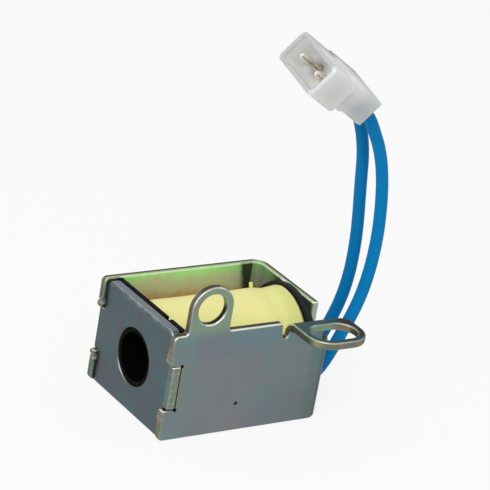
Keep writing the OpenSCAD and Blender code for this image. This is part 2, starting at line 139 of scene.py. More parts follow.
# Form of the wraps: places from the wall ends and heights in metres, turns round the bore
TAPE_GAP = 0.00005
CREEP_ALONG = (0.027, 0.034)
RAMP_START, RAMP_END, RAMP_EARLY = 0.0354, 0.0365, 0.0024
RAMP_TURNS = (math.radians(8), math.radians(40))
BULGE_BEFORE, BULGE_AFTER = math.radians(18), math.radians(43)
DIP_ALONG, DIP_WIDTH, DIP_TURN = 0.03675, 0.0019, math.radians(20)
END_DROP, END_LENGTH = 0.0007, 0.0012
FRONT_DROP, FRONT_LENGTH = 0.00008, 0.001
DIVE = (0.0005, 0.0013)
DIVE_DEPTH, DIVE_GAP, LEAST_TAPE = 0.00004, 0.00006, 0.00003
TUCK, TUCK_LENGTH = 0.00006, 0.0012
LIFT, WRAP_GAP = 0.00003, 0.00002
SPLICE_TAPE = 0.0001
TAIL_SUNK, TAIL_BEND, TAIL_ROUND = 0.0005, 0.00015, 0.42
LUMP_WAVES = ((410, 2, 0.0), (690, -3, 1.3), (230, 5, 0.0))

# Rings and steps of the spun wraps, then steps of the leads and across rounded edges
WRAP_MESH = (72, 120)
SPLICE_MESH = (36, 144)
LEAD_ALONG, LEAD_ROUND = 8, 6
BOBBIN_STEPS, CORE_STEPS, RIM_STEPS, SHROUD_STEPS, TAIL_STEPS = 2, 3, 4, 3, 3

# Tolerances of the meshes, in metres and degrees
MERGE = 1e-6
SPIN_MERGE = 1e-7
FLAT_TURN = 0.6
SHARP_TURN = 28.0
SHROUD_TURN = 32.0

# Wear and painted highlight that a rounded edge shows in its middle and beside it
WORN_LIT_MIDDLE, WORN_LIT_BESIDE = 1.0, 0.75

# Lamps, camera and floor, in metres, the sensor in millimetres
KEY_PLACE, KEY_SIZE = (-0.45, -0.35, 0.75), 0.62
FILL_PLACE, FILL_SIZE = (-0.85, -0.2, 0.35), 0.5
LAMP_AIM = Vector((0.0, 0.0, 0.02))
SENSOR = 36.0
CLIP = (0.01, 20.0)
FLOOR_HALF, FLOOR_GAP = 4.0, 0.00005


# Settings


def a_number(name, description, default, **kind):
    """A number setting, with its unit or subtype where one fits."""
    return FloatProperty(name=name, description=description, default=default, **kind)


def a_length(name, description, default):
    """A length setting, in metres."""
    return a_number(name, description, default, unit="LENGTH")


def an_angle(name, description, degrees):
    """An angle setting, given in degrees."""
    return a_number(name, description, math.radians(degrees), subtype="ANGLE")


def a_triple(name, description, default, **kind):
    """A setting of three numbers, with its subtype and unit."""
    return FloatVectorProperty(name=name, description=description, default=default, **kind)


def a_point(name, description, default):
    """A setting of a point, in metres."""
    return a_triple(name, description, default, subtype="TRANSLATION", unit="LENGTH")


def a_turn(name, description, degrees):
    """A setting of the turns about X, Y and Z, given in degrees."""
    default = [math.radians(part) for part in degrees]
    return a_triple(name, description, default, subtype="EULER")


def a_colour(name, description, default):
    """A colour setting."""
    return a_triple(name, description, default, subtype="COLOR", min=0.0, max=1.0)


class SheetSettings(bpy.types.PropertyGroup):
    """Sizes of the plated sheet pieces."""

    length: a_length("Frame length", "From the wall ends to the back face", 0.0432)
    bend: a_length("Bend radius", "Outside radius of the upright bends", 0.0036)
    hole: a_length("Plate hole", "Diameter of the hole in the end plate", 0.0132)
    edge_round: a_length("Edge rounding", "Radius that plating leaves on the edges", 0.00042)
    edge_steps: IntProperty(
        name="Edge steps", description="Segments across a rounded edge", default=4, min=1, max=6
    )
    merge: a_length("Merge", "Points of the frame closer than this become one", 0.00003)


class CoilSettings(bpy.types.PropertyGroup):
    """Sizes of the coil's wraps."""

    wire: a_length("Wire", "Distance from one turn of wire to the next", 0.00032)
    bobbin_round: a_length("Bobbin rounding", "Radius of the bobbin's edges", 0.0002)
    tape: a_length("Tape", "Thickness of the tape wrap", 0.00035)
    lumps: a_length("Lumps", "Height of the soft lumps in the tape", 0.00004)
    slack: a_length("Slack", "How far the tape stands off its plain radius", 0.00005)
    creep: a_length("Creep", "How far the tape rises along the coil", 0.00013)
    splice_width: a_length("Splice wrap width", "Width of the wrap at the rear flange", 0.004)
    swell: a_length("Swell", "How far the wraps rise towards the rear flange", 0.00034)
    bulge: a_length("Splice bulge", "How much further they rise over the splices", 0.00058)
    bulge_turn: an_angle("Bulge direction", "Direction of the bulge, from the rear upwards", 92)
    dip: a_length("Dip", "Depth of the dip beside the bulge", 0.0008)
    dip_turn: an_angle("Dip direction", "Direction of the dip, from the rear upwards", 57)
    tail_place: a_length("Tape end place", "Place of the loose end, from the wall ends", 0.034)
    tail_turn: an_angle("Tape end direction", "Direction of the loose end round the bore", 62)
    tail_size: a_triple(
        "Tape end size",
        "Width, height and thickness of the tape's loose end",
        (0.00095, 0.0019, 0.00034),
        subtype="XYZ_LENGTH",
        unit="LENGTH",
    )


class CoreSettings(bpy.types.PropertyGroup):
    """Sizes of the sliding core."""

    edge_round: a_length("Core rounding", "Radius of the plunger's edges", 0.00015)


class LeadSettings(bpy.types.PropertyGroup):
    """Sizes of the two leads and the place of their connector."""

    diameter: a_length("Lead diameter", "Diameter over the insulation", 0.0029)
    pitch: a_length("Lead pitch", "Distance between the leads at the coil", 0.0056)
    exit_height: a_length("Exit height", "Height of the leads at the coil", 0.002)
    exit_depth: a_length("Exit depth", "How far the leads reach into the boss", 0.0022)
    right_length: a_length("Right length", "Length of the right lead, end to end", 0.0842)
    left_length: a_length("Left length", "Length of the left lead, end to end", 0.0852)
    connector_place: a_point(
        "Connector place",
        "Middle of the connector's mouth, from the frame's front corner",
        (0.0305, 0.0117, 0.082),
    )
    connector_turn: a_turn("Connector turn", "How the connector is turned", (56, 17, -89))
    connector_length: a_length("Connector length", "Whole length of the connector", 0.022)
    connector_entry: a_length("Connector entry", "How far the leads reach into it", 0.004)
    pin_pitch: a_length("Pin pitch", "Distance between the two pins", 0.0062)
    rim_round: a_length("Rim rounding", "Radius of the connector's mouth rim", 0.00042)
    shroud_round: a_length("Shroud rounding", "Radius of its other edges", 0.00028)


class FinishSettings(bpy.types.PropertyGroup):
    """Colours of the finishes."""

    plating: a_colour("Plating", "Slate grey of the plated frame", (0.18, 0.214, 0.222))
    plating_teal: a_colour("Plating, teal", "Teal patches of the plating", (0.152, 0.235, 0.23))
    plating_violet: a_colour("Plating, violet", "Violet patches of the plating", (0.19, 0.192, 0.232))
    plating_lug: a_colour("Plating, lug", "Greener grey of the upright lug", (0.222, 0.308, 0.23))
    plating_rose: a_colour("Plating, rose", "Rosy brown on the lug's left", (0.25, 0.225, 0.2))
    # Painted reflections on faces that look up: slate on the flat lug's top, brown on the near tops and
    # far top edges, mint on the far tops
    plating_top: a_colour("Plating, top", "Deep slate of the flat lug's top", (0.05, 0.106, 0.114))
    plating_brown: a_colour("Plating, brown", "Dark brown of the near top faces", (0.065, 0.064, 0.05))
    plating_mint: a_colour("Plating, mint", "Pale green of the far top faces", (0.36, 0.48, 0.25))
    plating_cut: a_colour("Plating, cut", "Brownish slate of the cut faces", (0.13, 0.123, 0.106))
    plating_olive: a_colour("Plating, olive", "Olive of the wall ends and rims", (0.165, 0.182, 0.125))
    plating_copper: a_colour("Plating, copper", "Coppery stain on the lug rims", (0.3, 0.21, 0.14))
    # Also a painted reflection high in the upright lug's hole
    plating_pale: a_colour("Plating, pale", "Pale green of the back wall's cut end", (0.36, 0.43, 0.33))
    plating_moss: a_colour("Plating, moss", "Dark olive inside the wall ends", (0.055, 0.075, 0.028))
    # Painted shade low in the upright lug's hole
    plating_hole: a_colour("Plating, hole", "Near black in the upright lug's hole", (0.025, 0.022, 0.018))
    # Painted reflection of the tape at the flat lug's root
    plating_root: a_colour("Plating, root", "Yellowish green at the flat lug's root", (0.27, 0.33, 0.15))
    # Painted reflections in the flat lug's slot: green on its far wall, tan at its right
    plating_slot: a_colour("Plating, slot", "Green of the slot's far wall", (0.2, 0.3, 0.195))
    plating_tan: a_colour("Plating, tan", "Tan at the slot's right", (0.22, 0.185, 0.115))
    plating_deep: a_colour("Plating, deep", "Deeper slate low at the right", (0.115, 0.12, 0.135))
    plating_blue: a_colour("Plating, blue", "Bluer slate below the top edge", (0.145, 0.238, 0.272))
    plating_light: a_colour("Plating, light", "Lighter slate at the wall's left", (0.19, 0.262, 0.262))
    plating_warm: a_colour("Plating, warm", "Warmer slate in the wall's middle", (0.213, 0.218, 0.224))
    plating_band: a_colour("Plating, band", "Greener slate beside the bend", (0.115, 0.178, 0.162))
    # Painted reflections inside the walls: green along the top, straw lower down, russet lowest
    plating_green: a_colour("Plating, green", "Green sheen inside the walls", (0.48, 0.93, 0.38))
    plating_straw: a_colour("Plating, straw", "Straw sheen inside the walls", (0.61, 0.65, 0.46))
    plating_russet: a_colour("Plating, russet", "Russet low inside the walls", (0.62, 0.39, 0.18))
    # Painted shade beside the coil's end, with the dark flange's reflection
    plating_painted_shade: a_colour("Plating, shade", "Deep green beside the coil's end", (0.016, 0.032, 0.014))
    # Pale cream of worn edges and of painted edge highlights
    plating_edge: a_colour("Plating, edge", "Pale cream of worn edges", (0.9, 0.88, 0.76))
    # Painted highlight on the staked lips
    stake: a_colour("Stake", "Rosy grey of the staked lips", (0.33, 0.31, 0.28))
    plate: a_colour("End plate", "Darker slate of the end plate", (0.071, 0.096, 0.106))
    plate_teal: a_colour("End plate, teal", "Teal patches of the end plate", (0.06, 0.118, 0.128))
    plate_violet: a_colour("End plate, violet", "Violet patches of the end plate", (0.092, 0.078, 0.114))
    plate_top: a_colour("End plate, top", "Grey of the plate's upper face", (0.125, 0.16, 0.178))
    plate_pale: a_colour("End plate, pale", "Pale flecks on the sheared edge", (0.24, 0.3, 0.31))
    # Worn edges under painted highlight, and a painted highlight low in the plate's hole
    plate_edge: a_colour("End plate, edge", "Blue-grey of the plate's worn edges", (0.4, 0.45, 0.46))
    plate_bore: a_colour("End plate, bore", "Brown of the hole's upper side", (0.12, 0.09, 0.06))
    tab: a_colour("Tab", "Green of the tabs' rough ends", (0.2, 0.25, 0.18))
    tape: a_colour("Tape", "Pale yellow of the coil's tape", (1.0, 0.925, 0.375))
    tape_deep: a_colour("Tape, deep", "Greener yellow near the splices", (0.78, 0.78, 0.29))
    bobbin: a_colour("Bobbin", "Black of the bobbin", (0.002, 0.002, 0.0025))
    flange: a_colour("Flange", "Dusty black of the rear flange", (0.028, 0.03, 0.034))
    lead_right: a_colour("Lead, right", "Blue of the right lead", (0.0005, 0.232, 0.57))
    # Painted shade: the left lead's blue is a shaded copy of the right lead's
    lead_left: a_colour("Lead, left", "Deeper blue of the left lead", (0.0005, 0.213, 0.52))
    nylon: a_colour("Nylon", "Milky white of the connector", (0.96, 0.965, 0.95))
    # Painted shade: grey on the connector's lower side, rim, rear and latch side
    nylon_low: a_colour("Nylon, low", "Milky grey of the connector's lower side", (0.76, 0.77, 0.755))
    nylon_rim: a_colour("Nylon, rim", "Cooler grey of the mouth's rim", (0.44, 0.455, 0.47))
    nylon_rear: a_colour("Nylon, rear", "Cooler grey of the connector's rear", (0.54, 0.575, 0.59))
    nylon_side: a_colour("Nylon, side", "Grey of the latch's side", (0.33, 0.36, 0.36))
    # Painted light: warm white deep in the mouth, for light through the walls
    nylon_deep: a_colour("Nylon, deep", "Warm white deep in the mouth", (1.0, 0.985, 0.92))
    pin: a_colour("Pin", "Tinned metal of the pins", (0.72, 0.65, 0.55))
    # Painted highlight at the pins' tips
    pin_tip: a_colour("Pin, tip", "Brighter metal of the pins' tips", (0.95, 0.92, 0.86))
    steel: a_colour("Steel", "Turned steel of the cores", (0.5, 0.5, 0.5))
    copper: a_colour("Copper", "Enamelled copper wire", (0.62, 0.27, 0.12))
    sleeving: a_colour("Sleeving", "Woven sleeves on the splices", (0.7, 0.64, 0.48))


class StageSettings(bpy.types.PropertyGroup):
    """Camera, lamps and floor."""

    camera_place: a_point("Camera place", "Where it stands", (-0.30498, -0.40266, 0.25224))
    camera_turn: a_turn("Camera turn", "How the camera is turned", (66.907, -9.3625, -33.08))
    lens: a_number("Lens", "Focal length in millimetres", 183.885)
    floor: a_colour("Floor", "Colour of the floor", (0.86, 0.86, 0.86))
    floor_white: a_number("Floor white", "Share that shows as plain white", 0.86, subtype="FACTOR")
    ambient: a_number("Ambient", "Strength of the light from all round", 0.52)
    key_power: a_number("Key lamp", "Power of the lamp above the part", 3.7, unit="POWER")
    fill_power: a_number("Fill lamp", "Power of the lamp at the left", 1.1, unit="POWER")


def settings(name):
    """One of the scene's setting groups."""
    return getattr(bpy.context.scene, "solenoid_" + name)


def paint(name, factor=1.0):
    """A colour of the finishes as a plain tuple, made darker or paler by a factor."""
    return tuple(part * factor for part in getattr(settings("finish"), name))


# Shaders


class Signal:
    """An output socket whose arithmetic adds Math nodes."""

    def __init__(self, finish, socket):
        self.finish = finish
        self.socket = socket

    def math(self, operation, *values):
        """A Math node on these values."""
        return self.finish.node(
            "ShaderNodeMath", {"operation": operation}, dict(enumerate(values))
        )

    def __add__(self, other):
        return self.math("ADD", self, other)

    __radd__ = __add__

    def __sub__(self, other):
        return self.math("SUBTRACT", self, other)

    def __rsub__(self, other):
        return self.math("SUBTRACT", other, self)

    def __mul__(self, other):
        return self.math("MULTIPLY", self, other)

    __rmul__ = __mul__

    def highest(self, other):
        """The larger of two values."""
        return self.math("MAXIMUM", self, other)

    def size(self):
        """The value without its sign."""
        return self.math("ABSOLUTE", self)

    def wave(self):
        """The value's sine."""
        return self.math("SINE", self)

    def lifted(self, low):
        """A value from 0 to 1 brought into the range from low to 1."""
        return low + self * (1 - low)


class Finish:
    """A material or world tree under construction."""

    def __init__(self, owner):
        self.owner = owner
        owner.use_nodes = True
        self.tree = owner.node_tree
        self.tree.nodes.clear()

    def node(self, kind, settings=None, inputs=None, output=0):
        """Adds a node: its settings first, then the values or links of its sockets."""
        made = self.tree.nodes.new(kind)
        for key, value in (settings or {}).items():
            setattr(made, key, value)
        for key, value in (inputs or {}).items():
            if isinstance(value, Signal):
                self.tree.links.new(value.socket, made.inputs[key])
            else:
                made.inputs[key].default_value = value
        return Signal(self, made.outputs[output]) if made.outputs else None

    def place(self):
        """The surface point in the part's frame."""
        return self.node("ShaderNodeTexCoord", output="Object")

    def split(self, vector):
        """The three numbers of a vector."""
        parts = self.node("ShaderNodeSeparateXYZ", inputs={0: vector}).socket.node
        return [Signal(self, socket) for socket in parts.outputs]

    def axes(self):
        """The surface point's three coordinates."""
        return self.split(self.place())

    def along(self):
        """How far the surface point lies behind the wall ends."""
        return self.axes()[0] - WALL_END_X

    def facing(self):
        """The three parts of the surface's own direction."""
        return self.split(self.node("ShaderNodeTexCoord", output="Normal"))

    def in_connector(self):
        """The surface point in the connector's own directions."""
        lead = settings("lead")
        origin = SETOUT + Vector(lead.connector_place)
        turned = self.node(
            "ShaderNodeMapping",
            {"vector_type": "TEXTURE"},
            {0: self.place(), "Location": origin, "Rotation": tuple(lead.connector_turn)},
        )
        return self.split(turned)

    def worn(self):
        """The mark that rounding leaves on an edge, from 0 to 1, for wear and painted highlight."""
        return self.node("ShaderNodeAttribute", {"attribute_name": "worn"}, output="Fac")

    def noise(self, scale, detail=3.0, roughness=0.5, stretch=None, seed=0.0):
        """Soft noise, from 0 to 1, with a scale per metre."""
        point = self.place()
        if stretch or seed:
            point = self.node(
                "ShaderNodeMapping",
                inputs={0: point, "Location": (seed, seed, seed), "Scale": stretch or (1.0, 1.0, 1.0)},
            )
        return self.node(
            "ShaderNodeTexNoise",
            inputs={"Vector": point, "Scale": scale, "Detail": detail, "Roughness": roughness},
        )

    def step(self, value, low, high):
        """A smooth step from 0 at low to 1 at high."""
        return self.node(
            "ShaderNodeMapRange",
            {"interpolation_type": "SMOOTHSTEP"},
            {"Value": value, "From Min": low, "From Max": high},
        )

    def fall(self, value, low, high):
        """A smooth step from 1 at low to 0 at high."""
        return 1 - self.step(value, low, high)

    def near(self, value, centre, inner, outer):
        """1 within inner of a centre, 0 beyond outer."""
        return self.fall((value - centre).size(), inner, outer)

    def window(self, value, rise, fall):
        """1 after a rise and before a fall, where they are given."""
        opened = self.step(value, *rise) if rise else 1
        return opened * self.fall(value, *fall) if fall else opened

    def mix(self, factor, low, high):
        """A colour between two colours: links, plain colours or names of the finishes."""
        ends = [paint(c) if isinstance(c, str) else c for c in (low, high)]
        low, high = [c if isinstance(c, Signal) else (*c, 1.0) for c in ends]
        return self.node("ShaderNodeMix", {"data_type": "RGBA"}, {0: factor, 6: low, 7: high}, 2)

    def bump(self, height, strength, distance):
        """A normal that follows a height."""
        return self.node(
            "ShaderNodeBump", inputs={"Height": height, "Strength": strength, "Distance": distance}
        )

    def surface(self, **inputs):
        """Closes a material with a Principled shader; names use _ for spaces."""
        sockets = {key.replace("_", " "): value for key, value in inputs.items()}
        return self.close(self.node("ShaderNodeBsdfPrincipled", inputs=sockets))

    def close(self, shader):
        """Links a shader to the material's output."""
        self.node("ShaderNodeOutputMaterial", inputs={"Surface": shader})
        return self.owner


def new_finish(name):
    """A fresh material tree."""
    return Finish(bpy.data.materials.new(name))


def bend_start():
    """Where the upright bends begin, from the wall ends."""
    sheet = settings("sheet")
    return sheet.length - sheet.bend


def wall_tints(finish, along, z):
    """Colours of the flat walls: slate with soft patches, then the broad sheens."""
    step, mix, noise = finish.step, finish.mix, finish.noise
    near_top = step(z, TOP_Z - 0.011, TOP_Z - 0.001)
    border = near_top.highest(finish.fall(along, 0.001, 0.009))
    fine = noise(260.0, 2.0, seed=1.7)
    teal = step(noise(75.0, 1.0) * 0.6 + fine * 0.4, 0.42, 0.6)
    violet = step(noise(95.0, 1.0, seed=3.1) * 0.6 - fine * 0.4, 0.06, 0.2)
    shown = mix(teal * border.lifted(0.35), "plating", "plating_teal")
    shown = mix(violet * (0.6 - border * 0.35), shown, "plating_violet")
    for name, strength, left, right, low, high in WALL_SHEENS:
        sheen = finish.window(along, left, right) * finish.window(z, low, high)
        shown = mix(sheen * strength, shown, name)
    foot = finish.near(along, LUG_FOOT[0], 0.002, 0.0065)
    foot = foot * finish.near(z, LUG_FOOT[1], 0.0015, 0.0045)
    return mix(foot * 0.65, shown, "plating_violet")


def top_tints(finish, along, across):
    """Painted reflections on the faces that look up: slate on the flat lug, brown and mint on the walls.
    """
    step, mix = finish.step, finish.mix
    far_x = step(along - settings("sheet").length, -0.0011, -0.0008)
    far_y = step(across - WIDTH, -0.0011, -0.0008)
    shown = mix(step(across, -0.0012, -0.0004), "plating_top", "plating_brown")
    shown = mix(step(across, 0.004, 0.006), shown, "plating_mint")
    return mix(far_x.highest(far_y), shown, "plating_brown")


def rim_tints(finish, along, across):
    """Colours of the wall ends and of the flat lug's rim, with painted reflections in its slot."""
    step, mix = finish.step, finish.mix
    rust = step(finish.noise(330.0, 2.0, seed=6.1), 0.45, 0.65) * 0.7
    rust = rust * finish.fall(across, 0.01, 0.02)
    shown = mix(rust, "plating_olive", "plating_copper")
    # Painted reflection on the slot's walls
    slot = finish.near(along, SLOT_X, SLOT_HALF_X + 0.0001, SLOT_HALF_X + 0.0003)
    slot = slot * finish.near(across, SLOT_Y, SLOT_HALF_Y + 0.0001, SLOT_HALF_Y + 0.0003)
    tint = mix(step(along, 0.0392, 0.0412), "plating_slot", "plating_tan")
    return mix(slot, shown, tint)


def hole_tints(finish, shown, along, z):
    """The upright lug's hole over what is shown there: pale painted reflection above, dark painted shade
    below.
    """
    step, mix = finish.step, finish.mix
    hole_x = along - LUG_HOLE_X
    hole_z = z - LUG_HOLE_Z
    reach = hole_x * hole_x + hole_z * hole_z
    pierced = finish.fall(reach, LUG_HOLE_R**2, (LUG_HOLE_R + 0.0002) ** 2)
    shaded = pierced * step(0 - hole_z, -0.0008, 0.0008) * step(hole_x, -0.003, 0.0)
    shown = mix(pierced * step(hole_z, -0.0002, 0.0012), shown, "plating_pale")
    return mix(shaded, shown, "plating_hole")


def frame_outside(finish, along, across, z, nx, ny, nz):
    """Colours of the frame's outside: tinted walls, lug, tops, cut faces and rims, with painted
    reflections and shade on the tops, in the lug's hole and slot and at the flat lug's root.
    """
    step, fall, mix = finish.step, finish.fall, finish.mix
    bend_x = bend_start()
    shown = wall_tints(finish, along, z)
    band = step(along, 0.0365, 0.0388) * step(0 - ny, 0.3, 0.8)
    shown = mix(band * 0.6, shown, "plating_band")
    low_right = step(along, 0.018, 0.036) * fall(z, 0.004, 0.015)
    turned = step(nx, 0.05, 0.5) * fall(nx, 0.85, 0.98)
    turned = turned * step(along, 0.037, 0.039) * 0.75
    shown = mix((low_right * 0.3).highest(turned), shown, "plating_deep")
    lug = step(z, TOP_Z - 0.0015, TOP_Z + 0.0015)
    rosy = fall(along - (z - TOP_Z) * 0.35, 0.0018, 0.0034) * 0.7
    shown = mix(lug, shown, mix(rosy, "plating_lug", "plating_rose"))
    # Painted reflection on the faces that look up
    shown = mix(step(nz, 0.5, 0.9), shown, top_tints(finish, along, across))
    side = step(nx.size(), 0.6, 0.9) * fall(along, bend_x - 0.001, bend_x)
    # Painted reflection of the tape on the cut faces at the flat lug's root
    root = step(along, 0.03, 0.031) * step(z, TOP_Z - 0.005, TOP_Z - 0.003)
    shown = mix(side, shown, mix(root, "plating_cut", "plating_root"))
    shown = hole_tints(finish, shown, along, z)
    rim = fall(across, -0.0018, -0.0012) * fall(nz.size(), 0.3, 0.75)
    end = fall(along, 0.0002, 0.0006) * side
    shown = mix(rim.highest(end), shown, rim_tints(finish, along, across))
    # More of the painted reflection of the tape at the flat lug's root
    shown = mix(root * side * 0.8, shown, "plating_root")
    back_end = step(along, bend_x, bend_x + 0.0006) * step(across, 0.0005, 0.001)
    return mix(back_end * step(0 - ny, 0.5, 0.85), shown, "plating_pale")


def frame_inside(finish, along, across, z):
    """Painted reflections on the frame's inside: green along the top, straw lower down, and dark painted
    shade at the coil's end.
    """
    step, mix, noise = finish.step, finish.mix, finish.noise
    bend_x = bend_start()
    wander = (noise(110.0, 2.0, seed=2.2) - 0.5) * 0.004
    streaks = noise(420.0, 3.0, 0.6, stretch=(1.0, 1.0, 0.35), seed=5.5)
    wander = wander + (streaks - 0.5) * 0.0042
    height = z + wander
    # Painted reflections inside the walls, green high and straw then russet lower down
    shown = mix(step(height, TOP_Z - 0.0036, TOP_Z - 0.0004), "plating_straw", "plating_green")
    shown = mix(step(height, TOP_Z - 0.0078, TOP_Z - 0.0042), "plating_russet", shown)
    lean = along + (z - TOP_Z) * 0.2 + wander * 0.4
    before = step(lean, bend_x - 0.004, bend_x - 0.0024)
    after = step(along, bend_x - 0.0001, bend_x + 0.0007)
    beside = after * (1 - step(across, 0.0215, 0.0262) * 0.4)
    # Painted shade before the bend and on the back wall beside the coil's end
    shade = (before * (1 - after)).highest(beside)
    shown = mix(shade * 0.95, shown, "plating_painted_shade")
    return mix(step(along, 0.0032, 0.0042), "plating_moss", shown)


def frame_brightness(finish, along, across, z, nx, ny, nz):
    """How bright the frame's worn edges show, as wear and painted highlight: most at the top edge, the
    notch and the lug's hole.
    """
    step, fall, near = finish.step, finish.fall, finish.near
    notch = fall(along, 0.0026, 0.0031) * near(z, NOTCH_LOW, 0.0005, 0.0007)
    brow = step(z, TOP_Z - 0.0008, TOP_Z - 0.0005) * fall(across.size(), 0.0004, 0.0008)
    brow = brow * step(along, 0.0125, 0.0145)
    lip = near(z, LUG_HOLE_Z - LUG_HOLE_R, 0.0006, 0.0009) * fall(across, 0.0005, 0.0009)
    brow = brow.highest(lip * near(along, LUG_HOLE_X + 0.0004, 0.0014, 0.0026))
    patchy = step(finish.noise(300.0, 2.0, 0.6, seed=4.4), 0.35, 0.65).lifted(0.45)
    # Painted highlight: edges that face up show brighter, edges that face back dimmer
    behind = step(ny.highest(nx), 0.15, 0.45)
    bright = finish.worn() * patchy.highest(notch).highest(brow)
    bright = bright * step(nz, -0.15, 0.6).lifted(0.12).highest(brow)
    bright = bright * (1 - behind * 0.75) * step(across, -0.002, 0.0).lifted(0.42)
    return bright * (1 - step(across, 0.02, 0.025) * 0.5)


def frame_plating():
    """Plating of the bent frame, with worn edges under painted highlights, painted reflections and shade,
    and fine drawing marks.
    """
    finish = new_finish("frame_plating")
    step, fall, mix = finish.step, finish.fall, finish.mix
    x, y, z = finish.axes()
    nx, ny, nz = finish.facing()
    along = x - WALL_END_X
    across = y - FRONT_Y
    outside = frame_outside(finish, along, across, z, nx, ny, nz)
    back = step(along, 0.0385, 0.0395) * step(0 - nx, 0.35, 0.75)
    inward = step((BORE.y - y) * ny, 0.004, 0.009).highest(back)
    inward = inward * step(along, 0.0002, 0.0006) * step(across, 0.0005, 0.001)
    inward = inward * fall(z, TOP_Z - 0.0003, TOP_Z + 0.0006)
    shown = mix(inward, outside, frame_inside(finish, along, across, z))
    # Painted highlight on the staked lips at the wall ends
    apart = [step((z - height).size(), 0.0007, 0.0011) for height in STAKE_HEIGHTS]
    stakes = (1 - apart[0] * apart[1]) * fall(along, 0.0004, 0.0008)
    shown = mix(stakes * 0.55, shown, "stake")
    # Worn edges under painted highlight
    bright = frame_brightness(finish, along, across, z, nx, ny, nz)
    streak = finish.noise(900.0, 4.0, 0.7, stretch=(0.15, 0.15, 1.0), seed=1.3)
    grain = finish.noise(5200.0, 2.0, 0.6)
    return finish.surface(
        Base_Color=mix(bright, shown, "plating_edge"),
        Metallic=PLATED - (inward * 0.5).highest(bright * 0.45),
        Roughness=0.26 + streak * 0.18,
        Specular_Tint=GRAZING_TINT,
        Normal=finish.bump(grain + streak * 0.5, 0.05, 0.00005),
    )


def end_plate_plating():
    """Plating of the end plate: darker slate, flecked along its sheared edge, rough green tab ends, with
    painted highlights on its worn edges and low in its hole.
    """
    finish = new_finish("end_plate_plating")
    step, fall, mix, noise = finish.step, finish.fall, finish.mix, finish.noise
    x, y, z = finish.axes()
    nx, ny, nz = finish.facing()
    dy = y - BORE.y
    dz = z - BORE.z
    fine = noise(330.0, 2.0, seed=2.9)
    teal = step(noise(90.0, 1.0, seed=5.0) * 0.5 + fine * 0.5, 0.42, 0.58)
    violet = step(noise(120.0, 1.0, seed=7.3) * 0.5 - fine * 0.5, -0.02, 0.1)
    right = step(0 - dy, -0.004, 0.009)
    shown = mix(teal * (0.5 + right * 0.35), "plate", "plate_teal")
    shown = mix(right * 0.3, shown, "plate_teal")
    shown = mix(violet * (0.45 - right * 0.2), shown, "plate_violet")
    shown = mix(step(nz, 0.5, 0.9), shown, "plate_top")
    flecks = step(noise(800.0, 3.0, 0.6, stretch=(1.0, 0.4, 1.0), seed=2.6), 0.35, 0.7)
    flecks = flecks * step(z, TOP_Z - 0.0014, TOP_Z - 0.0002) * step(0 - nx, 0.5, 0.9)
    shown = mix(flecks, shown, "plate_pale")
    half = WIDTH / 2
    outer = step(dy.size(), half - 0.0019, half - 0.0014)
    shown = mix(outer * step(0 - dy, 0.0, 0.001) * 0.4, shown, "tab")
    tab = step(ny.size(), 0.5, 0.85)
    specks = step(noise(2600.0, 2.0, 0.6, seed=3.7), 0.58, 0.7)
    shown = mix(tab, shown, mix(specks * 0.5, "tab", "plating_edge"))
    reach = (settings("sheet").hole / 2) ** 2
    from_bore = dy * dy + dz * dz
    bored = fall(from_bore, reach * 1.02, reach * 1.06)
    by_hole = fall(from_bore, reach * 1.12, reach * 1.2)
    # Painted highlight low in the plate's hole
    low = step(0 - dz, 0.0022, 0.005) * step(dy, 0.0, 0.0022)
    patchy = step(noise(1100.0, 3.0, 0.6, seed=1.9), 0.35, 0.7)
    # Worn edges with painted highlight where they face up and forward, less by the hole except low down,
    # most on the tabs' upper edges
    worn = finish.worn() * step(nz - ny * 0.6, -0.1, 0.6) * (1 - by_hole * (1 - low * 0.8))
    shown = mix(worn * (0.2 + patchy * 0.5), shown, "plate_edge")
    shown = mix(worn * outer * step(nz, 0.2, 0.5), shown, "plating_edge")
    bore = mix(low * 0.5, "plate_bore", "plate_edge")
    bore = mix(step(x - WALL_END_X, 0.001, 0.0014), bore, "bobbin")
    grain = noise(4200.0, 2.0, 0.6)
    return finish.surface(
        Base_Color=mix(bored * (0.6 + low * 0.3), shown, bore),
        Metallic=PLATED,
        Roughness=0.26 + grain * 0.14 + tab * 0.15,
        Normal=finish.bump(grain + specks * tab * 2.0, 0.08, 0.00006),
    )


def tape_finish():
    """Pale yellow tape with faint creases."""
    finish = new_finish("coil_tape_yellow")
    soft = finish.noise(160.0, 3.0)
    crease = finish.noise(520.0, 4.0, 0.6, stretch=(1.0, 0.45, 0.45), seed=4.0)
    near_splice = finish.step(finish.along(), 0.027, 0.0375)
    return finish.surface(
        Base_Color=finish.mix((soft * 0.35).highest(near_splice * 0.9), "tape", "tape_deep"),
        Roughness=0.46 + crease * 0.2,
        Specular_IOR_Level=0.3,
        Normal=finish.bump(soft + crease * 0.5, 0.2, 0.0001),
    )


def bobbin_finish():
    """Black moulded plastic with a fine mould grain."""
    finish = new_finish("bobbin_black")
    grain = finish.noise(3800.0, 3.0, 0.6)
    dust = finish.step(finish.noise(240.0, 4.0, 0.65, seed=8.0), 0.5, 0.85)
    rear = finish.step(finish.along(), 0.03, 0.036)
    shown = finish.mix(dust, "bobbin", paint("bobbin", 1.8))
    return finish.surface(
        Base_Color=finish.mix(rear, shown, "flange"),
        Roughness=0.52 + dust * 0.12,
        Specular_IOR_Level=0.03,
        Normal=finish.bump(grain, 0.12, 0.00004),
    )


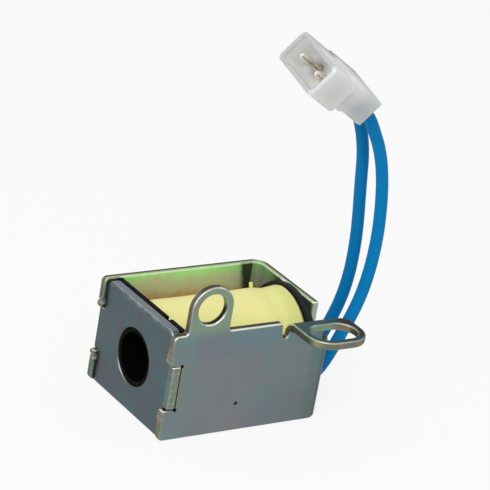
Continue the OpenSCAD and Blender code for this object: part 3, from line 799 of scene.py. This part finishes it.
def lead_finish(hand):
    """Smooth blue insulation, in a lit copy for the right lead and a darker painted-shade copy for the
    left.
    """
    finish = new_finish("lead_blue_" + hand)
    blue = "lead_" + hand
    cloud = finish.noise(240.0, 3.0, seed=6.0)
    fine = finish.noise(2600.0, 2.0, 0.6)
    return finish.surface(
        Base_Color=finish.mix(cloud * 0.6, blue, paint(blue, 0.8)),
        Roughness=0.4 + fine * 0.14,
        Specular_IOR_Level=0.08,
        Normal=finish.bump(fine + cloud, 0.08, 0.00006),
    )


def nylon_finish():
    """Milky nylon that lets light through its walls, with painted light deep in its mouth and painted
    shade on its lower side, rim, rear and latch side.
    """
    finish = new_finish("connector_nylon")
    step, fall, mix = finish.step, finish.fall, finish.mix
    cloud = finish.noise(260.0, 3.0, seed=9.0)
    grain = finish.noise(3000.0, 2.0, 0.6)
    u, v, depth = finish.in_connector()
    # Painted shade on the lower side, rim, rear and latch side, and painted light deep in the mouth
    upper = step(v + (cloud - 0.5) * 0.002, -0.004, 0.004)
    rim = step(depth, -0.0016, -0.0002) * (1 - step(u, 0.0052, 0.0066) * 0.85)
    rear = fall(depth, -0.017, -0.0105)
    inside = fall(u.size(), 0.0059, 0.0061) * fall(v.size(), 0.003, 0.0032)
    inside = inside * (1 - rear) * fall(depth, -0.003, -0.0008)
    far_side = step(v, 0.0039, 0.0043) * fall(u, -0.0045, 0.0005)
    shown = mix(upper, "nylon_low", "nylon")
    shown = mix(rear * (1.0 - upper * 0.3), shown, "nylon_rear")
    shown = mix(inside, shown, "nylon_deep")
    shown = mix(far_side, shown, "nylon_side")
    return finish.surface(
        Base_Color=mix(rim, shown, "nylon_rim"),
        Roughness=0.36 + grain * 0.14,
        Specular_IOR_Level=0.35,
        Subsurface_Weight=1.0,
        Subsurface_Radius=(1.0, 1.0, 0.95),
        Subsurface_Scale=0.0055,
        Normal=finish.bump(grain + cloud, 0.06, 0.00006),
    )


def pin_finish():
    """Rolled, tinned pin metal with dark smears and a painted highlight at the tips."""
    finish = new_finish("pin_tinned")
    smear = finish.step(finish.noise(900.0, 4.0, 0.65, seed=2.0), 0.45, 0.8)
    shown = finish.mix(smear, "pin", paint("pin", 0.45))
    # Painted highlight towards the pins' tips
    tip = finish.step(finish.in_connector()[2], -0.0035, -0.0015)
    return finish.surface(
        Base_Color=finish.mix(tip * 0.8, shown, "pin_tip"),
        Metallic=1.0,
        Roughness=0.16 + smear * 0.22,
        Normal=finish.bump(smear, 0.08, 0.00005),
    )


def turned_steel():
    """Steel of the cores, with fine turning marks round the bore."""
    finish = new_finish("core_steel")
    rings = finish.noise(5200.0, 3.0, stretch=(1.0, 0.02, 0.02), seed=0.7)
    stain = finish.noise(300.0, 4.0, 0.6, seed=1.0)
    return finish.surface(
        Base_Color=finish.mix(finish.step(stain, 0.4, 0.8), "steel", paint("steel", 0.6)),
        Metallic=1.0,
        Roughness=0.26 + stain * 0.18,
        Normal=finish.bump(rings, 0.25, 0.00003),
    )


def copper_finish():
    """Enamelled copper wire, turn beside turn."""
    finish = new_finish("winding_copper")
    turns = (finish.axes()[0] * (2 * math.pi / settings("coil").wire)).wave()
    stain = finish.noise(500.0, 3.0, seed=3.0)
    return finish.surface(
        Base_Color=finish.mix(stain, "copper", paint("copper", 0.55)),
        Metallic=1.0,
        Roughness=0.3 + stain * 0.15,
        Normal=finish.bump(turns, 0.5, 0.0001),
    )


def sleeving_finish():
    """Woven sleeving on the splices."""
    finish = new_finish("splice_sleeving")
    weave = finish.noise(6000.0, 2.0, stretch=(0.5, 1.0, 1.0))
    return finish.surface(
        Base_Color=finish.mix(weave, "sleeving", paint("sleeving", 0.7)),
        Roughness=0.8,
        Normal=finish.bump(weave, 0.4, 0.00006),
    )


# Meshes


def finished_piece(name, bm, material, body, node):
    """Makes a piece from a bmesh and lets it stand for a CAD node."""
    mesh = bpy.data.meshes.new(name)
    bm.to_mesh(mesh)
    bm.free()
    mesh.materials.append(material)
    piece = bpy.data.objects.new(name, mesh)
    bpy.context.scene.collection.objects.link(piece)
    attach(piece, body)
    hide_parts(node)
    return piece


def node_copy(node, merge=MERGE):
    """A merged copy of a CAD node's mesh, ready to have its edges rounded."""
    bm = bmesh.new()
    bm.from_mesh(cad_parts[node].data)
    bmesh.ops.remove_doubles(bm, verts=bm.verts, dist=merge)
    bmesh.ops.dissolve_limit(
        bm, angle_limit=math.radians(FLAT_TURN), verts=bm.verts[:], edges=bm.edges[:]
    )
    bm.verts.layers.float.new("worn")
    return bm


def sharp_edges(bm, chosen=None, least_turn=SHARP_TURN):
    """The edges that turn by more than least_turn degrees and whose middle is chosen."""
    least = math.radians(least_turn)
    sharp = [e for e in bm.edges if len(e.link_faces) == 2 and e.calc_face_angle() > least]
    return [e for e in sharp if not chosen or chosen((e.verts[0].co + e.verts[1].co) / 2)]


def round_edges(bm, edges, radius, steps):
    """Rounds edges and marks the middle of the new strips for wear and painted highlight."""
    made = bmesh.ops.bevel(
        bm,
        geom=edges,
        offset=radius,
        offset_type="OFFSET",
        affect="EDGES",
        segments=steps,
        profile=0.5,
        material=-1,
        clamp_overlap=False,
        loop_slide=False,
        face_strength_mode="ALL",
    )
    strip = set(made["faces"])
    worn = bm.verts.layers.float["worn"]
    inner = {v for face in strip for v in face.verts if strip.issuperset(v.link_faces)}
    for vert in inner:
        amid = all(edge.other_vert(vert) in inner for edge in vert.link_edges)
        vert[worn] = WORN_LIT_MIDDLE if amid else WORN_LIT_BESIDE


def smooth_faces(bm):
    """Shades every face smooth."""
    for face in bm.faces:
        face.smooth = True


def rounded_piece(name, bm, material, body, node):
    """A finished piece whose flat faces shade flat and whose rounded edges shade round."""
    bmesh.ops.remove_doubles(bm, verts=bm.verts, dist=MERGE)
    smooth_faces(bm)
    for edge in sharp_edges(bm):
        edge.smooth = False
    piece = finished_piece(name, bm, material, body, node)
    flat = piece.modifiers.new("flat_faces", "WEIGHTED_NORMAL")
    flat.weight = 100
    flat.keep_sharp = True
    flat.use_face_influence = True
    return piece


def dressed_node(node, material):
    """Gives a CAD node that stays a better material."""
    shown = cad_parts[node]
    shown.data.materials.clear()
    shown.data.materials.append(material)


def spun_sleeve(x0, x1, mesh, outer_r, inner_r):
    """A closed sleeve round the bore from x0 to x1, with mesh's rings and steps."""
    rings, steps = mesh
    places = [x0 + (x1 - x0) * i / (rings - 1) for i in range(rings)]
    bm = bmesh.new()
    section = [(x, outer_r) for x in places] + [(x, inner_r) for x in reversed(places)]
    ring = [bm.verts.new((x, BORE.y + r, BORE.z)) for x, r in section]
    edges = [bm.edges.new((a, b)) for a, b in zip(ring, ring[1:] + ring[:1])]
    bmesh.ops.spin(
        bm,
        geom=ring + edges,
        cent=BORE,
        axis=(1.0, 0.0, 0.0),
        angle=2 * math.pi,
        steps=steps,
        use_merge=True,
    )
    bmesh.ops.remove_doubles(bm, verts=bm.verts, dist=SPIN_MERGE)
    bmesh.ops.recalc_face_normals(bm, faces=bm.faces)
    smooth_faces(bm)
    return bm


def shape_sleeve(bm, split_r, outer, inner):
    """Moves each point of a sleeve to the radius that outer or inner gives at its place."""
    for vert in bm.verts:
        out = Vector((0.0, vert.co.y - BORE.y, vert.co.z - BORE.z))
        radius = outer if out.length > split_r else inner
        turn = math.atan2(out.z, out.y)
        axis_point = Vector((vert.co.x, BORE.y, BORE.z))
        vert.co = axis_point + out.normalized() * radius(vert.co.x, turn)


def add_part(bm, part):
    """Adds the faces of another bmesh."""
    held = bpy.data.meshes.new("held_part")
    part.to_mesh(held)
    part.free()
    bm.from_mesh(held)
    bpy.data.meshes.remove(held)


def bell(value, centre, width):
    """A soft bump of height 1."""
    return math.exp(-(((value - centre) / width) ** 2))


def ease(value, low, high):
    """A smooth step from 0 at low to 1 at high."""
    part = min(1.0, max(0.0, (value - low) / (high - low)))
    return part * part * (3 - 2 * part)


def turn_between(a, b):
    """The turn from b to a, from minus half a turn to half a turn."""
    return (a - b + math.pi) % (2 * math.pi) - math.pi


# Operators


class SOLENOID_OT_stage(bpy.types.Operator):
    """Sets the camera, the lamps, the world and the floor"""

    bl_idname = "solenoid.stage"
    bl_label = "Stage"

    def execute(self, context):
        stage = settings("stage")
        self.camera(context, stage)
        self.world(context, stage)
        self.floor(context, stage)
        self.lamp(context, "key_lamp", KEY_PLACE, KEY_SIZE, stage.key_power)
        self.lamp(context, "fill_lamp", FILL_PLACE, FILL_SIZE, stage.fill_power)
        return {"FINISHED"}

    def camera(self, context, stage):
        """The photo's camera."""
        data = bpy.data.cameras.new("photo_camera")
        data.lens = stage.lens
        data.sensor_width = SENSOR
        data.clip_start, data.clip_end = CLIP
        camera = bpy.data.objects.new("photo_camera", data)
        camera.location = stage.camera_place
        camera.rotation_euler = stage.camera_turn
        context.scene.collection.objects.link(camera)
        context.scene.camera = camera

    def seen(self, tree):
        """1 for what the camera sees, also by reflection or through something."""
        path = tree.node("ShaderNodeLightPath").socket.node
        names = ("Is Camera Ray", "Is Glossy Ray", "Is Transmission Ray")
        camera, glossy, through = (Signal(tree, path.outputs[name]) for name in names)
        return camera.highest(glossy).highest(through)

    def world(self, context, stage):
        """Light from all round, seen as plain white."""
        world = bpy.data.worlds.new("studio")
        context.scene.world = world
        tree = Finish(world)
        plain = {"Color": (1.0, 1.0, 1.0, 1.0)}
        light = tree.node("ShaderNodeBackground", inputs={**plain, "Strength": stage.ambient})
        white = tree.node("ShaderNodeBackground", inputs={**plain, "Strength": 1.0})
        shown = tree.node("ShaderNodeMixShader", inputs={0: self.seen(tree), 1: light, 2: white})
        tree.node("ShaderNodeOutputWorld", inputs={"Surface": shown})
        context.scene.view_settings.view_transform = "Standard"

    def floor(self, context, stage):
        """A white floor under the part."""
        bm = bmesh.new()
        bmesh.ops.create_grid(bm, x_segments=1, y_segments=1, size=FLOOR_HALF)
        bmesh.ops.translate(bm, verts=bm.verts, vec=(0.0, 0.0, CAD_BOX[0][2] - FLOOR_GAP))
        mesh = bpy.data.meshes.new("floor")
        bm.to_mesh(mesh)
        bm.free()
        tree = new_finish("floor_white")
        matt = tree.node("ShaderNodeBsdfDiffuse", inputs={"Color": (*stage.floor, 1.0)})
        glow = tree.node("ShaderNodeEmission", inputs={"Strength": 1.0})
        share = self.seen(tree) * stage.floor_white
        mixed = tree.node("ShaderNodeMixShader", inputs={0: share, 1: matt, 2: glow})
        mesh.materials.append(tree.close(mixed))
        floor = bpy.data.objects.new("floor", mesh)
        context.scene.collection.objects.link(floor)

    def lamp(self, context, name, place, size, power):
        """A square lamp that is aimed at the part."""
        data = bpy.data.lights.new(name, "AREA")
        data.size = size
        data.energy = power
        lamp = bpy.data.objects.new(name, data)
        lamp.location = place
        lamp.rotation_euler = (LAMP_AIM - Vector(place)).to_track_quat("-Z", "Y").to_euler()
        context.scene.collection.objects.link(lamp)


class SOLENOID_OT_leads(bpy.types.Operator):
    """Lays the two blue leads between the coil and the connector"""

    bl_idname = "solenoid.leads"
    bl_label = "Leads"

    def execute(self, context):
        lead = settings("lead")
        self.lay(lead, "right", -1, [(x, RIGHT_BACK, z) for x, z in RIGHT_ROUTE])
        self.lay(lead, "left", 1, [(x, LEFT_BACK, z) for x, z in LEFT_ROUTE])
        return {"FINISHED"}

    def on_connector(self, lead, side, z):
        """A point on a lead hole's axis in the connector."""
        local = Vector((-side * lead.pin_pitch / 2, 0.0, z))
        return SETOUT + Vector(lead.connector_place) + Euler(lead.connector_turn).to_matrix() @ local

    def lay(self, lead, hand, side, route):
        """Lays one lead along its route."""
        face_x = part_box("bobbin")[1].x
        start_y = (FRONT_Y + REAR_Y) / 2 + side * lead.pitch / 2
        start = Vector((face_x - lead.exit_depth, start_y, lead.exit_height))
        ends = (-lead.connector_length - lead.diameter, -lead.connector_length + lead.connector_entry)
        points = [start] + [SETOUT + Vector(p) for p in route]
        points += [self.on_connector(lead, side, z) for z in ends]
        curve = bpy.data.curves.new("blue_lead_" + hand, "CURVE")
        curve.dimensions = "3D"
        curve.bevel_depth = lead.diameter / 2
        curve.bevel_resolution = LEAD_ROUND
        curve.resolution_u = LEAD_ALONG
        curve.use_fill_caps = True
        spline = curve.splines.new("BEZIER")
        spline.bezier_points.add(len(points) - 1)
        for knot, point in zip(spline.bezier_points, points):
            knot.co = point
            knot.handle_left_type = "AUTO"
            knot.handle_right_type = "AUTO"
        curve.materials.append(lead_finish(hand))
        cord = bpy.data.objects.new("blue_lead_" + hand, curve)
        bpy.context.scene.collection.objects.link(cord)
        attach(cord, "housing")
        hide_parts("lead_" + hand)


class SOLENOID_OT_frame(bpy.types.Operator):
    """Finishes the bent frame and the end plate that is staked into it"""

    bl_idname = "solenoid.frame"
    bl_label = "Frame"

    def execute(self, context):
        sheet = settings("sheet")
        wall = node_copy("coil_frame", sheet.merge)
        rounded = sharp_edges(wall, lambda point: not self.stays_sharp(point))
        round_edges(wall, rounded, sheet.edge_round, sheet.edge_steps)
        rounded_piece("frame_sheet", wall, frame_plating(), "housing", "coil_frame")
        plate = node_copy("end_plate")
        round_edges(plate, sharp_edges(plate), sheet.edge_round, sheet.edge_steps)
        finish = end_plate_plating()
        rounded_piece("plate_sheet", plate, finish, "housing", "end_plate")
        return {"FINISHED"}

    def stays_sharp(self, point):
        """True at the frame's smallest features."""
        along, across, up = point - SETOUT
        for hole_x, hole_z, reach in RELIEF_HOLES:
            if math.hypot(along - hole_x, up - hole_z) < reach:
                return True
        mark_x, mark_z, reach = PUNCH_MARK
        if across < PUNCH_DEPTH and math.hypot(along - mark_x, up - mark_z) < reach:
            return True
        if along < STAKE_DEPTH and min(abs(up - z) for z in STAKE_HEIGHTS) < STAKE_REACH:
            return True
        low, high = LUG_ROOT
        return all(a < v < b for a, v, b in zip(low, (along, across, up), high))


class SOLENOID_OT_coil(bpy.types.Operator):
    """Finishes the bobbin and wraps the coil in tape"""

    bl_idname = "solenoid.coil"
    bl_label = "Coil"

    def execute(self, context):
        coil = settings("coil")
        yellow = tape_finish()
        moulding = node_copy("bobbin")
        rounded = sharp_edges(moulding, lambda point: not self.on_boss(point))
        round_edges(moulding, rounded, coil.bobbin_round, BOBBIN_STEPS)
        black = bobbin_finish()
        rounded_piece("bobbin_moulding", moulding, black, "housing", "bobbin")
        dressed_node("winding", copper_finish())
        dressed_node("splice_sleeves", sleeving_finish())
        self.tape(coil, yellow)
        self.splice(coil, yellow)
        return {"FINISHED"}

    def on_boss(self, point):
        """True at the small boss that the leads leave by."""
        low, high = BOSS_ALONG
        return low < point.x - WALL_END_X < high and point.z < BOSS_TOP

    def swell(self, coil, x, turn):
        """How far the wraps rise above plain tape, over the splices most of all."""
        along = x - WALL_END_X
        aside = abs(turn_between(turn, coil.dip_turn))
        beside = bell(aside, 0.0, DIP_TURN)
        over = turn_between(turn, coil.bulge_turn)
        hump = bell(over, 0.0, BULGE_BEFORE if over < 0 else BULGE_AFTER)
        rise = coil.swell * (1 - beside) + coil.bulge * hump
        creep = coil.creep * ease(along, *CREEP_ALONG)
        dip = coil.dip * bell(along, DIP_ALONG, DIP_WIDTH) * beside
        rounding = END_DROP * ease(x, TAPE_END_X - END_LENGTH, TAPE_END_X) ** 2
        ramp_start = RAMP_START - RAMP_EARLY * ease(aside, *RAMP_TURNS)
        return creep + ease(along, ramp_start, RAMP_END) * rise - dip - rounding

    def stand(self, coil, x, turn):
        """How far the outermost wrap stands above plain tape, with its soft lumps."""
        waves = sum(math.sin(x * pace + turns * turn + phase) for pace, turns, phase in LUMP_WAVES)
        return coil.slack + coil.lumps * waves / 3 + self.swell(coil, x, turn)

    def first_wrap(self, coil, x, turn):
        """Radius of the first wrap, which dives under the second one."""
        inner = WINDING_R + TAPE_GAP
        front_x = TAPE_END_X - coil.splice_width
        covered = ease(x, front_x + DIVE[0], front_x + DIVE[1])
        stand = self.stand(coil, x, turn)
        below = min(-DIVE_DEPTH, stand - DIVE_GAP)
        front = FRONT_DROP * bell(x, TAPE_LOW_X, FRONT_LENGTH)
        radius = inner + coil.tape + stand * (1 - covered) + below * covered - front
        return max(radius, inner + LEAST_TAPE)

    def tape(self, coil, yellow):
        """The first wrap, with its loose end."""
        inner = WINDING_R + TAPE_GAP
        plain = inner + coil.tape
        bm = spun_sleeve(TAPE_LOW_X, TAPE_END_X, WRAP_MESH, plain, inner)
        shape_sleeve(
            bm,
            inner + coil.tape / 2,
            lambda x, turn: self.first_wrap(coil, x, turn),
            lambda x, turn: inner,
        )
        add_part(bm, self.loose_end(coil, plain))
        finished_piece("tape_wrap", bm, yellow, "housing", "coil_tape")

    def loose_end(self, coil, plain):
        """The tape's end, which stands up from the coil."""
        bm = bmesh.new()
        height, thickness = coil.tail_size[1:]
        bmesh.ops.create_cube(bm, size=1.0)
        bmesh.ops.scale(bm, vec=coil.tail_size, verts=bm.verts)
        bmesh.ops.bevel(
            bm,
            geom=[e for e in bm.edges if max(v.co.y for v in e.verts) > 0],
            offset=thickness * TAIL_ROUND,
            affect="EDGES",
            segments=TAIL_STEPS,
            profile=0.5,
            material=-1,
        )
        turn = Euler((coil.tail_turn, 0.0, 0.0)).to_matrix()
        root = Vector((WALL_END_X + coil.tail_place, BORE.y, BORE.z))
        for vert in bm.verts:
            part = vert.co.y / height + 0.5
            bent = Vector((0.0, plain + height / 2 - TAIL_SUNK, TAIL_BEND * part * part))
            vert.co = root + turn @ (vert.co + bent)
        smooth_faces(bm)
        return bm

    def splice(self, coil, yellow):
        """The second wrap, over the splices."""
        plain = WINDING_R + TAPE_GAP + coil.tape
        front_x = TAPE_END_X - coil.splice_width

        def under(x, turn):
            tuck = TUCK * (1 - ease(x, front_x, front_x + TUCK_LENGTH))
            return self.first_wrap(coil, x, turn) + WRAP_GAP - tuck

        def skin(x, turn):
            raised = LIFT * ease(x, front_x, front_x + TUCK_LENGTH) - WRAP_GAP
            return max(plain + self.stand(coil, x, turn) + raised, under(x, turn) + WRAP_GAP)

        bm = spun_sleeve(front_x, TAPE_END_X, SPLICE_MESH, plain + SPLICE_TAPE, plain)
        shape_sleeve(bm, plain + SPLICE_TAPE / 2, skin, under)
        finished_piece("splice_wrap", bm, yellow, "housing", "splice_tape")


class SOLENOID_OT_core(bpy.types.Operator):
    """Finishes the sliding plunger and the fixed pole piece"""

    bl_idname = "solenoid.core"
    bl_label = "Core"

    def execute(self, context):
        core = settings("core")
        steel = turned_steel()
        plunger = node_copy("plunger")
        round_edges(plunger, sharp_edges(plunger), core.edge_round, CORE_STEPS)
        rounded_piece("plunger_core", plunger, steel, "plunger", "plunger")
        pole = node_copy("pole_piece")
        rounded_piece("pole_core", pole, steel, "housing", "pole_piece")
        return {"FINISHED"}


class SOLENOID_OT_connector(bpy.types.Operator):
    """Finishes the two-way connector and its pins, and gives the conductors copper"""

    bl_idname = "solenoid.connector"
    bl_label = "Connector"

    def execute(self, context):
        lead = settings("lead")
        tin = pin_finish()
        copper = bpy.data.materials["winding_copper"]
        housing = self.housing(lead)
        for hand, length in (("right", lead.right_length), ("left", lead.left_length)):
            node = "pin_terminal_" + hand
            pin = rounded_piece("pin_" + hand, node_copy(node), tin, "housing", node)
            dressed_node("conductor_" + hand, copper)
            cord = bpy.data.objects["blue_lead_" + hand]
            start = cord.data.splines[0].bezier_points[0].co
            tuple(start)
        return {"FINISHED"}

    def in_connector(self, lead, point):
        """A point in the connector's own directions, from the middle of its mouth."""
        turn = Euler(lead.connector_turn).to_matrix()
        return turn.transposed() @ (point - SETOUT - Vector(lead.connector_place))

    def stays_sharp(self, lead, point):
        """True at the pin towers and behind the shroud, where the steps are small."""
        local = self.in_connector(lead, point)
        tower = min(math.hypot(local.x - side * lead.pin_pitch / 2, local.y) for side in (-1, 1))
        latch = local.y > LATCH_SIDE and local.z < LATCH_END
        return tower < TOWER_REACH or local.z < SHROUD_END or latch

    def housing(self, lead):
        """The connector's moulding, roundest at the rim of its mouth."""
        bm = node_copy("connector_housing")
        rim = sharp_edges(bm, lambda point: self.in_connector(lead, point).z > RIM_DEPTH)
        round_edges(bm, rim, lead.rim_round, RIM_STEPS)
        other = sharp_edges(bm, lambda point: not self.stays_sharp(lead, point), SHROUD_TURN)
        round_edges(bm, other, lead.shroud_round, SHROUD_STEPS)
        nylon = nylon_finish()
        return rounded_piece("housing_moulding", bm, nylon, "housing", "connector_housing")


class SOLENOID_PT_panel(bpy.types.Panel):
    """Lists the steps that build the solenoid's looks"""

    bl_idname = "SOLENOID_PT_panel"
    bl_label = "Solenoid"
    bl_space_type = "VIEW_3D"
    bl_region_type = "UI"
    bl_category = "Solenoid"

    def draw(self, context):
        for operator in OPERATORS:
            self.layout.operator(operator.bl_idname)
        for group in GROUPS:
            box = self.layout.box()
            held = settings(group)
            for key in held.__annotations__:
                box.prop(held, key)


GROUPS = {
    "sheet": SheetSettings,
    "coil": CoilSettings,
    "core": CoreSettings,
    "lead": LeadSettings,
    "finish": FinishSettings,
    "stage": StageSettings,
}
OPERATORS = (
    SOLENOID_OT_stage,
    SOLENOID_OT_leads,
    SOLENOID_OT_frame,
    SOLENOID_OT_coil,
    SOLENOID_OT_core,
    SOLENOID_OT_connector,
)


def register():
    """Registers the settings, the operators and the panel."""
    for name, group in GROUPS.items():
        bpy.utils.register_class(group)
        setattr(bpy.types.Scene, "solenoid_" + name, PointerProperty(type=group))
    for operator in OPERATORS:
        bpy.utils.register_class(operator)
    bpy.utils.register_class(SOLENOID_PT_panel)


def unregister():
    """Removes what register added."""
    bpy.utils.unregister_class(SOLENOID_PT_panel)
    for operator in reversed(OPERATORS):
        bpy.utils.unregister_class(operator)
    for name, group in reversed(GROUPS.items()):
        delattr(bpy.types.Scene, "solenoid_" + name)
        bpy.utils.unregister_class(group)


def main():
    """Builds the looks step by step."""
    register()
    bpy.ops.solenoid.stage()
    bpy.ops.solenoid.leads()
    bpy.ops.solenoid.frame()
    bpy.ops.solenoid.coil()
    bpy.ops.solenoid.core()
    bpy.ops.solenoid.connector()


if __name__ == "__main__":
    main()
